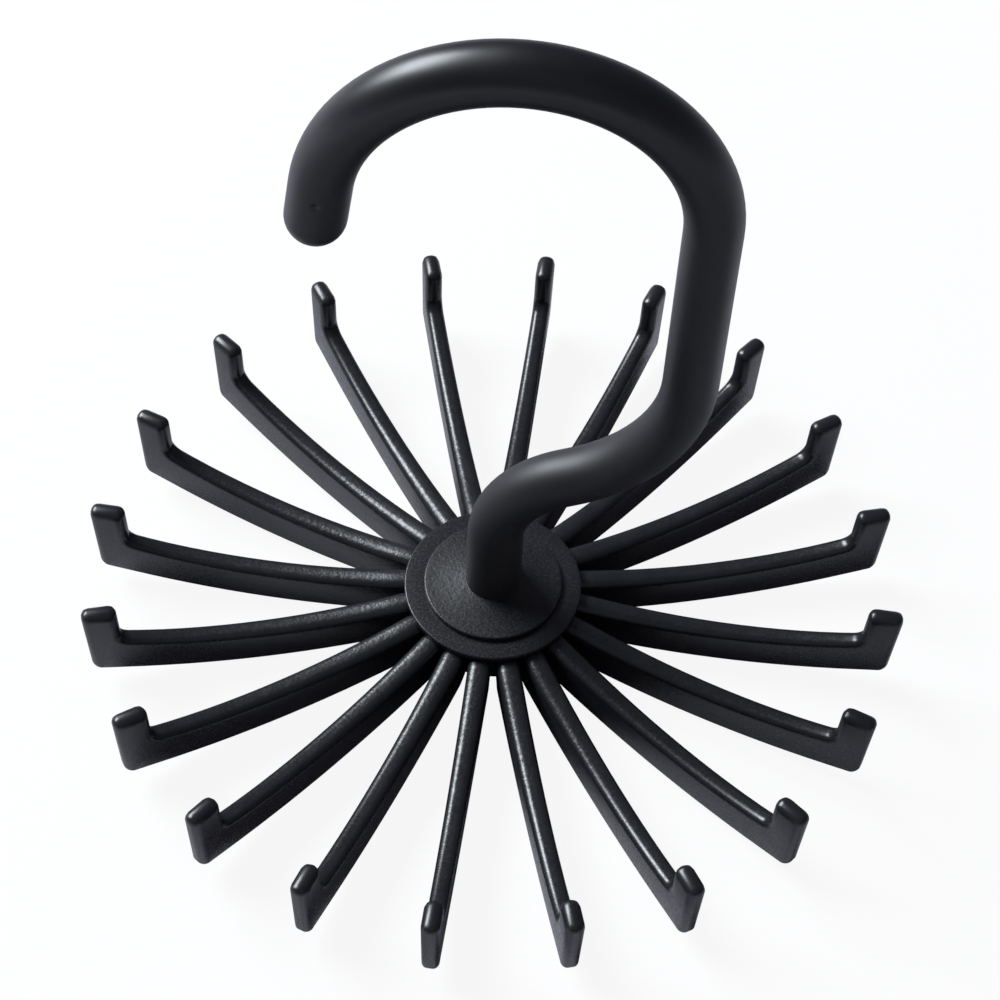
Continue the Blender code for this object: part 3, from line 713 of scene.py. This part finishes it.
class Recipe:
    """Nodes of one finish; a value is a node's output or a plain number."""

    def __init__(self, name):
        self.material = bpy.data.materials.new(name)
        self.material.use_nodes = True
        self.tree = self.material.node_tree
        self.shader = self.tree.nodes["Principled BSDF"]
        FINISHES[name] = self.material

    def add(self, kind, **values):
        node = self.tree.nodes.new(kind)
        for key, value in values.items():
            setattr(node, key, value)
        return node

    def feed(self, target, value):
        """Joins an output to an input, or sets the input to a plain value."""
        if isinstance(value, bpy.types.NodeSocket):
            self.tree.links.new(value, target)
        else:
            target.default_value = value

    def give(self, name, value):
        """Feeds an input of the finish's own shader."""
        self.feed(self.shader.inputs[name], value)

    def place(self):
        """The piece's own coordinates."""
        return self.add("ShaderNodeTexCoord").outputs["Object"]

    def part(self, place, axis):
        """One coordinate of a place."""
        parts = self.add("ShaderNodeSeparateXYZ")
        self.feed(parts.inputs["Vector"], place)
        return parts.outputs[axis]

    def distance(self, place, other=(0, 0, 0)):
        """Distance between two places, or from the origin."""
        way = self.add("ShaderNodeVectorMath", operation="DISTANCE")
        self.feed(way.inputs[0], place)
        self.feed(way.inputs[1], other)
        return way.outputs["Value"]

    def radius(self, place):
        """Distance from the axis that the star turns on."""
        flat = self.add("ShaderNodeVectorMath", operation="MULTIPLY")
        self.feed(flat.inputs[0], place)
        self.feed(flat.inputs[1], (1, 1, 0))
        return self.distance(flat.outputs["Vector"])

    def reckon(self, operation, first, second):
        """Adds, multiplies or divides two values."""
        node = self.add("ShaderNodeMath", operation=operation)
        self.feed(node.inputs[0], first)
        self.feed(node.inputs[1], second)
        return node.outputs["Value"]

    def mix(self, kind, factor, first, last):
        """Goes from the first to the last as the factor goes from nought to one."""
        node = self.add("ShaderNodeMix", data_type=kind)
        start, end, mixed = MIX_SOCKETS[kind]
        self.feed(node.inputs["Factor"], factor)
        self.feed(node.inputs[start], first)
        self.feed(node.inputs[end], last)
        return node.outputs[mixed]

    def noise(self, size, detail):
        """Mottling whose marks are about that many metres across."""
        node = self.add("ShaderNodeTexNoise")
        self.feed(node.inputs["Vector"], self.place())
        self.feed(node.inputs["Scale"], 1 / size)
        self.feed(node.inputs["Detail"], detail)
        return node.outputs["Fac"]

    def spread(self, value, first, last, over=MOTTLE, shape="LINEAR"):
        """Goes from the first to the last while a value crosses a range."""
        node = self.add("ShaderNodeMapRange", interpolation_type=shape)
        names = ("Value", "From Min", "From Max", "To Min", "To Max")
        for name, setting in zip(names, (value, *over, first, last)):
            self.feed(node.inputs[name], setting)
        return node.outputs["Result"]

    def step(self, value, over):
        """Goes smoothly from nought to one while a value crosses a range."""
        return self.spread(value, 0, 1, over, "SMOOTHSTEP")

    def sheen(self, value, roughness, below, above, over=MOTTLE):
        """A roughness that goes that far below and above its setting over a mottling."""
        return self.spread(value, roughness - below, roughness + above, over)

    def mottle(self, value, colour, dark, light=1):
        """A colour that is darker and lighter, by those factors, over a mottling."""
        ramp = self.add("ShaderNodeValToRGB")
        for stop, position, factor in zip(ramp.color_ramp.elements, MOTTLE, (dark, light)):
            stop.position = position
            stop.color = shaded(colour, factor)
        self.feed(ramp.inputs["Fac"], value)
        return ramp.outputs["Color"]

    def bump(self, height, relief, strength=1, below=None):
        """Relief of that many metres; below is a relief already made."""
        node = self.add("ShaderNodeBump")
        self.feed(node.inputs["Height"], height)
        self.feed(node.inputs["Distance"], relief)
        self.feed(node.inputs["Strength"], strength)
        if below:
            self.feed(node.inputs["Normal"], below)
        return node.outputs["Normal"]


def shaded(colour, factor):
    """A colour made darker or lighter, opaque."""
    return (*(value * factor for value in colour), 1)


class TIERACK_OT_finishes(bpy.types.Operator):
    """Mix the finishes: satin and grained black plastic, nylon and zinc-plated steel"""
    bl_idname = "tierack.finishes"
    bl_label = "Finishes"

    def execute(self, context):
        look = context.scene.tie_rack_finish
        self.satin_black(look, context.scene.tie_rack_hook)
        self.grained("grained_black", look, look.disc_roughness, DISC_RELIEF)
        self.grained("cover_black", look, look.cover_roughness, COVER_RELIEF)
        self.arm_black(look)
        self.nylon(look)
        self.steel(look)
        return {"FINISHED"}

    def satin_black(self, look, size):
        """Smooth satin, duller at the low bend, with the gate mark's pit on the front of the nose."""
        recipe = Recipe("satin_black")
        cloud = recipe.noise(SATIN_CLOUD, detail=3)
        recipe.give("Base Color", recipe.mottle(cloud, look.hook_colour, dark=0.85, light=1.15))
        recipe.give("Specular IOR Level", 0.6)
        place = recipe.place()
        sheen = recipe.sheen(cloud, look.hook_roughness, below=0.02, above=0.02)
        duller = recipe.spread(recipe.part(place, "Z"), look.bend_roughness, 0, BEND_HEIGHTS)
        recipe.give("Roughness", recipe.reckon("ADD", sheen, duller))
        skin = recipe.bump(recipe.noise(SATIN_SKIN, detail=2), SATIN_RELIEF, strength=0.35)
        mark = (size.arch_shift - size.arch_radius, -size.nose_radius, size.mark_height)
        pit = recipe.step(recipe.distance(place, mark), (0, size.mark_radius))
        recipe.give("Normal", recipe.bump(pit, size.mark_depth, below=skin))

    def grained(self, name, look, roughness, relief):
        """Spark grain as a mould leaves it; relief is the grain's height in metres."""
        recipe = Recipe(name)
        cloud = recipe.noise(MOULD_CLOUD, detail=3)
        recipe.give("Base Color", recipe.mottle(cloud, look.disc_colour, dark=0.8, light=1.2))
        marks = recipe.noise(SHEEN_GRAIN, detail=1)
        recipe.give("Roughness", recipe.sheen(marks, roughness, below=0.03, above=0.18, over=DISC_SHEEN))
        coarse = recipe.bump(recipe.noise(COARSE_GRAIN, detail=1), relief)
        recipe.give("Normal", recipe.bump(recipe.noise(FINE_GRAIN, detail=1), relief, below=coarse))

    def arm_black(self, look):
        """Grain on the arms, duller and deeper beside the hub and polished smooth on the prongs' tops."""
        recipe = Recipe("arm_black")
        cloud = recipe.noise(MOULD_CLOUD, detail=3)
        recipe.give("Base Color", recipe.mottle(cloud, look.arm_colour, dark=0.8, light=1.2))
        place = recipe.place()
        radius = recipe.radius(place)
        polished = recipe.step(recipe.part(place, "Z"), TIP_HEIGHTS)
        marks = recipe.noise(FINE_GRAIN, detail=2)
        sheen = recipe.sheen(marks, look.arm_roughness, below=0.03, above=0.09, over=ARM_SHEEN)
        duller = recipe.spread(radius, look.root_roughness, 0, ROOT_RADII)
        rough = recipe.reckon("ADD", sheen, duller)
        recipe.give("Roughness", recipe.mix("FLOAT", polished, rough, look.tip_roughness))
        strength = recipe.spread(radius, 1, CALM_SHARE, CALM_RADII)
        coarse = recipe.bump(recipe.noise(COARSE_GRAIN, detail=1), ARM_RELIEF, strength)
        grain = recipe.bump(recipe.noise(FINE_GRAIN, detail=1), ARM_RELIEF, strength, below=coarse)
        smooth = recipe.bump(recipe.noise(SHEEN_GRAIN, detail=2), TIP_RELIEF, strength=0.3)
        recipe.give("Normal", recipe.mix("VECTOR", polished, grain, smooth))

    def nylon(self, look):
        """Milky nylon that lets a little light in."""
        recipe = Recipe("natural_nylon")
        cloud = recipe.noise(NYLON_CLOUD, detail=3)
        recipe.give("Base Color", recipe.mottle(cloud, look.nylon_colour, dark=0.93))
        recipe.give("Roughness", 0.45)
        recipe.give("Subsurface Weight", 0.1)
        recipe.give("Subsurface Radius", NYLON_DEPTHS)
        recipe.give("Normal", recipe.bump(recipe.noise(NYLON_SKIN, detail=2), NYLON_RELIEF, strength=0.4))

    def steel(self, look):
        """Zinc plating with its cloudy spangle."""
        recipe = Recipe("zinc_steel")
        cloud = recipe.noise(STEEL_CLOUD, detail=4)
        recipe.give("Base Color", recipe.mottle(cloud, look.steel_colour, dark=0.88))
        recipe.give("Roughness", recipe.spread(cloud, first=0.26, last=0.40))
        recipe.give("Metallic", 1)
        recipe.give("Normal", recipe.bump(recipe.noise(STEEL_SKIN, detail=2), STEEL_RELIEF, strength=0.3))


class TIERACK_OT_inner_parts(bpy.types.Operator):
    """Dress the hub, cap, washers and screw, whose shapes stay as they are"""
    bl_idname = "tierack.inner_parts"
    bl_label = "Hub, cap, washers and screw"

    def execute(self, context):
        for node, finish in INNER_FINISHES.items():
            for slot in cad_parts[node].material_slots:
                slot.material = FINISHES[finish]
        return {"FINISHED"}


def camera_matrix():
    """The photograph's viewpoint: tilt, roll, distance and turn against the rack."""
    tilt, roll = CAMERA_TILT, CAMERA_ROLL
    aside = CAMERA_DEPTH * (ORIGIN_PIXEL[0] - LENS_PIXEL[0]) / FOCAL_PIXELS
    below = CAMERA_DEPTH * (ORIGIN_PIXEL[1] - LENS_PIXEL[1]) / FOCAL_PIXELS
    right = Vector((math.cos(roll), math.sin(roll) * math.sin(tilt), math.sin(roll) * math.cos(tilt)))
    down = Vector((math.sin(roll), -math.cos(roll) * math.sin(tilt), -math.cos(roll) * math.cos(tilt)))
    ahead = Vector((0, math.cos(tilt), -math.sin(tilt)))
    matrix = Matrix((right, -down, -ahead)).transposed().to_4x4()
    matrix.translation = -(right * aside + down * below + ahead * CAMERA_DEPTH)
    return Matrix.Translation((0, 0, ORIGIN_HEIGHT)) @ Matrix.Rotation(CAMERA_TURN, 4, "Z") @ matrix


class TIERACK_OT_stage(bpy.types.Operator):
    """Lay the pale floor and set up the room light, the lamps and the camera"""
    bl_idname = "tierack.stage"
    bl_label = "Stage"

    def execute(self, context):
        stage = context.scene.tie_rack_stage
        self.lay_floor(stage)
        self.light_room(context, stage)
        for lamp in LAMPS:
            self.hang_lamp(*lamp, stage.lamp_colour)
        self.set_camera(context)
        context.scene.view_settings.view_transform = "Standard"
        return {"FINISHED"}

    def lay_floor(self, stage):
        """A pale floor, almost white for the camera, with painted shade in the colour that reflections
        show.
        """
        start_piece()
        bpy.ops.mesh.primitive_plane_add(size=2 * stage.floor_half, location=(0, 0, 0))
        floor = name_piece("floor")
        recipe = Recipe("floor_white")
        recipe.give("Roughness", 0.9)
        recipe.give("Specular IOR Level", 0.1)
        rays = recipe.add("ShaderNodeLightPath")
        place = recipe.place()
        plain = recipe.mottle(recipe.noise(FLOOR_CLOUD, detail=2), stage.floor_colour, dark=0.99)
        # Reflections see the floor through painted shade that darkens with the ray's length
        shaded_reflection = self.painted_floor_shade(recipe, stage, rays.outputs["Ray Length"], place)
        recipe.give("Base Color", recipe.mix("RGBA", rays.outputs["Is Glossy Ray"], plain, shaded_reflection))
        white = recipe.spread(recipe.distance(place), 1 - stage.shadow_share, 1, WHITE)
        mix = recipe.add("ShaderNodeMixShader")
        recipe.feed(mix.inputs["Fac"], recipe.reckon("MULTIPLY", rays.outputs["Is Camera Ray"], white))
        recipe.feed(mix.inputs[1], recipe.shader.outputs["BSDF"])
        recipe.feed(mix.inputs[2], recipe.add("ShaderNodeEmission").outputs["Emission"])
        recipe.feed(recipe.tree.nodes["Material Output"].inputs["Surface"], mix.outputs["Shader"])
        floor.data.materials.append(recipe.material)

    def painted_floor_shade(self, recipe, stage, way, place):
        """The floor's colour in reflections, with painted shade graded by the ray's length: darkest for
        rays of middle length, and even behind the rack.
        """
        # Painted shade: reflections show the floor darker than it is lit, at near_share close by and
        # middle_share further off, then pale again past the far stop
        ramp = recipe.add("ShaderNodeValToRGB")
        recipe.feed(ramp.inputs["Fac"], recipe.reckon("DIVIDE", way, stage.reach))
        stops = ramp.color_ramp.elements
        for position, paleness in ((NEAR_STOP, stage.near_share), (MIDDLE_STOP, stage.middle_share),
                                   (FAR_STOP, stage.middle_share)):
            stops.new(position).color = shaded(stage.floor_colour, paleness)
        stops.remove(stops[0])
        stops[-1].color = shaded(stage.floor_colour, 1)
        behind = recipe.step(recipe.part(place, "Y"), BEHIND)
        even = shaded(stage.floor_colour, stage.near_share)
        return recipe.mix("RGBA", behind, ramp.outputs["Color"], even)

    def light_room(self, context, stage):
        """Dim even light from all round, which the camera sees as white."""
        world = bpy.data.worlds.new("room")
        world.use_nodes = True
        context.scene.world = world
        tree = world.node_tree
        even = tree.nodes["Background"]
        even.inputs["Color"].default_value = shaded(stage.room_colour, 1)
        even.inputs["Strength"].default_value = stage.room_strength
        white = tree.nodes.new("ShaderNodeBackground")
        white.inputs["Color"].default_value = (1, 1, 1, 1)
        rays = tree.nodes.new("ShaderNodeLightPath")
        mix = tree.nodes.new("ShaderNodeMixShader")
        tree.links.new(rays.outputs["Is Camera Ray"], mix.inputs["Fac"])
        tree.links.new(even.outputs["Background"], mix.inputs[1])
        tree.links.new(white.outputs["Background"], mix.inputs[2])
        tree.links.new(mix.outputs["Shader"], tree.nodes["World Output"].inputs["Surface"])

    def hang_lamp(self, name, place, width, height, power, colour):
        """Hangs a rectangular lamp that shines at the rack."""
        start_piece()
        bpy.ops.object.light_add(type="AREA", location=place)
        lamp = bpy.context.object
        lamp.name = name
        lamp.data.shape = "RECTANGLE"
        lamp.data.size = width
        lamp.data.size_y = height
        lamp.data.energy = power
        lamp.data.color = colour
        aim = LAMP_AIM - Vector(place)
        lamp.rotation_euler = aim.to_track_quat("-Z", "Y").to_euler()

    def set_camera(self, context):
        """Sets up the camera at the photograph's viewpoint."""
        data = bpy.data.cameras.new("camera")
        data.sensor_width = SENSOR_WIDTH
        data.lens = FOCAL_PIXELS * SENSOR_WIDTH / PICTURE
        data.shift_x = (PICTURE / 2 - LENS_PIXEL[0] - PIXEL_MIDDLE) / PICTURE
        data.shift_y = (LENS_PIXEL[1] + PIXEL_MIDDLE - PICTURE / 2) / PICTURE
        data.clip_start = CLIP_START
        camera = bpy.data.objects.new("camera", data)
        camera.matrix_world = camera_matrix()
        context.scene.collection.objects.link(camera)
        context.scene.camera = camera


class TIERACK_PT_panel(bpy.types.Panel):
    """The pieces and the stage, in the order in which they are made"""
    bl_idname = "TIERACK_PT_panel"
    bl_label = "Tie rack"
    bl_space_type = "VIEW_3D"
    bl_region_type = "UI"
    bl_category = "Tie rack"

    def draw(self, context):
        for group, step in STEPS:
            box = self.layout.box()
            if group:
                settings = getattr(context.scene, group)
                for key in settings.__annotations__:
                    box.prop(settings, key)
            box.operator(step)


STEPS = (
    ("tie_rack_finish", "tierack.finishes"),
    ("tie_rack_hook", "tierack.hook"),
    ("tie_rack_cover", "tierack.cover"),
    ("tie_rack_arms", "tierack.arms"),
    ("", "tierack.inner_parts"),
    ("tie_rack_stage", "tierack.stage"),
)

GROUPS = {
    "tie_rack_hook": TieRackHook,
    "tie_rack_cover": TieRackCover,
    "tie_rack_arms": TieRackArms,
    "tie_rack_finish": TieRackFinish,
    "tie_rack_stage": TieRackStage,
}

TOOLS = (TIERACK_OT_finishes, TIERACK_OT_hook, TIERACK_OT_cover, TIERACK_OT_arms, TIERACK_OT_inner_parts,
         TIERACK_OT_stage, TIERACK_PT_panel)


def register():
    for group in GROUPS.values():
        bpy.utils.register_class(group)
    for tool in TOOLS:
        bpy.utils.register_class(tool)
    for name, group in GROUPS.items():
        setattr(bpy.types.Scene, name, bpy.props.PointerProperty(type=group))


def unregister():
    for name in GROUPS:
        delattr(bpy.types.Scene, name)
    for tool in reversed(TOOLS):
        bpy.utils.unregister_class(tool)
    for group in reversed(list(GROUPS.values())):
        bpy.utils.unregister_class(group)


def main():
    register()
    bpy.ops.tierack.finishes()
    bpy.ops.tierack.hook()
    bpy.ops.tierack.cover()
    bpy.ops.tierack.arms()
    bpy.ops.tierack.inner_parts()
    bpy.ops.tierack.stage()
    start_piece()


if __name__ == "__main__":
    main()
